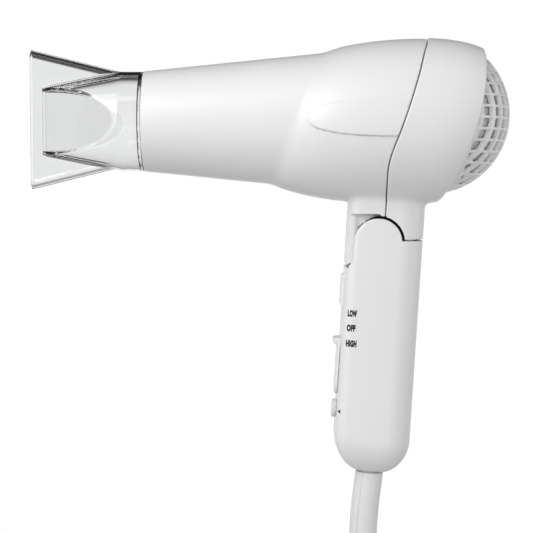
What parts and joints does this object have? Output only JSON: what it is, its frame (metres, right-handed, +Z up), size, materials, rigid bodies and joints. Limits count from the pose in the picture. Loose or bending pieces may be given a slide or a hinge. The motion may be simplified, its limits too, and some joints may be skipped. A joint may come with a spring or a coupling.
{
  "type": "travel hair dryer",
  "caption": "Compact hair dryer with a round barrel, flat clear air concentrator, domed rear intake grille and a handle that folds forward under the barrel; cord with plug.",
  "frame": {"origin": "grip point on the handle's axis, 65 mm below the fold pivot", "axes": "+Z up, -X towards the nozzle, +X towards the rear intake, +Y to the side away from the viewer"},
  "size_m": [0.2255, 0.0786, 0.515],
  "materials": {
    "handle_left_shell": "satin gloss white",
    "handle_right_shell": "satin gloss white",
    "handle_screws": "zinc plated",
    "hinge_axle": "ground pin",
    "hinge_washer_left": "nylon",
    "hinge_washer_right": "nylon",
    "detent_block": "moulded",
    "detent_spring": "spring steel",
    "power_switch": "moulded",
    "selector_switch": "moulded",
    "handle_wiring": "insulation",
    "cord_clamp": "moulded",
    "strain_relief": "smooth PVC",
    "cord_lead": "smooth PVC",
    "cord_hank": "smooth PVC",
    "cord_tie": "hook and loop strap",
    "plug_body": "moulded",
    "plug_cover": "moulded",
    "plug_blades": "plated brass",
    "front_shell": "satin gloss white",
    "rear_shell": "satin gloss white",
    "rear_grille": "satin gloss white",
    "outlet_grille": "heat-resistant plastic",
    "heat_shield": "mica sheet",
    "mica_frame": "mica sheet",
    "heater_coil": "drawn nichrome wire",
    "thermostat": "plated",
    "thermal_fuse": "sleeved",
    "fan_duct": "moulded",
    "motor_sleeve": "rubber",
    "motor_can": "zinc plated",
    "motor_end_cap": "moulded",
    "rectifier_board": "solder mask",
    "head_wiring": "silicone insulation",
    "neck_screw": "zinc plated",
    "fan_rotor": "moulded",
    "motor_shaft": "ground steel",
    "nozzle": "clear plastic",
    "slide_button": "satin gloss white",
    "slide_carrier": "moulded",
    "voltage_knob": "satin",
    "test_button": "moulded",
    "reset_button": "moulded"
  },
  "bodies": {
    "handle": {"handle_left_shell": "handle_left_shell", "handle_right_shell": "handle_right_shell", "handle_screws": "handle_screws", "hinge_axle": "hinge_axle", "hinge_washer_left": "hinge_washer_left", "hinge_washer_right": "hinge_washer_right", "detent_block": "detent_block", "detent_spring": "detent_spring", "power_switch": "power_switch", "selector_switch": "selector_switch", "handle_wiring": "handle_wiring", "cord_clamp": "cord_clamp", "strain_relief": "strain_relief", "cord_lead": "cord_lead", "cord_hank": "cord_hank", "cord_tie": "cord_tie", "plug_body": "plug_body", "plug_cover": "plug_cover", "plug_blades": "plug_blades"},
    "head": {"front_shell": "front_shell", "rear_shell": "rear_shell", "rear_grille": "rear_grille", "outlet_grille": "outlet_grille", "heat_shield": "heat_shield", "mica_frame": "mica_frame", "heater_coil": "heater_coil", "thermostat": "thermostat", "thermal_fuse": "thermal_fuse", "fan_duct": "fan_duct", "motor_sleeve": "motor_sleeve", "motor_can": "motor_can", "motor_end_cap": "motor_end_cap", "rectifier_board": "rectifier_board", "head_wiring": "head_wiring", "neck_screw": "neck_screw"},
    "fan": {"fan_rotor": "fan_rotor", "motor_shaft": "motor_shaft"},
    "nozzle": {"nozzle": "nozzle"},
    "slider": {"slide_button": "slide_button", "slide_carrier": "slide_carrier"},
    "selector": {"voltage_knob": "voltage_knob"},
    "test": {"test_button": "test_button"},
    "reset": {"reset_button": "reset_button"}
  },
  "joints": [
    {"name": "fold", "type": "hinge", "parent": "handle", "child": "head", "pos_m": [0, 0, 0.065], "axis": [0, -1, 0], "range_deg": [0, 82]},
    {"name": "fan_spin", "type": "hinge", "parent": "head", "child": "fan", "pos_m": [0, 0, 0.1212], "axis": [1, 0, 0], "continuous": true},
    {"name": "nozzle_pull", "type": "slide", "parent": "head", "child": "nozzle", "axis": [-1, 0, 0], "range_m": [0, 0.03]},
    {"name": "power_slide", "type": "slide", "parent": "handle", "child": "slider", "axis": [0.0593, 0, 0.9982], "range_m": [0, 0.0136]},
    {"name": "voltage_turn", "type": "hinge", "parent": "handle", "child": "selector", "pos_m": [-0.01788, 0, -0.01426], "axis": [-0.9982, 0, 0.0593], "range_deg": [0, 90]},
    {"name": "test_press", "type": "slide", "parent": "handle", "child": "test", "axis": [0, 1, 0], "range_m": [0, 0.0012], "stiffness_N_per_m": 300, "springref_m": -0.001},
    {"name": "reset_press", "type": "slide", "parent": "handle", "child": "reset", "axis": [0, 1, 0], "range_m": [0, 0.0012], "stiffness_N_per_m": 300, "springref_m": -0.001}
  ]
}
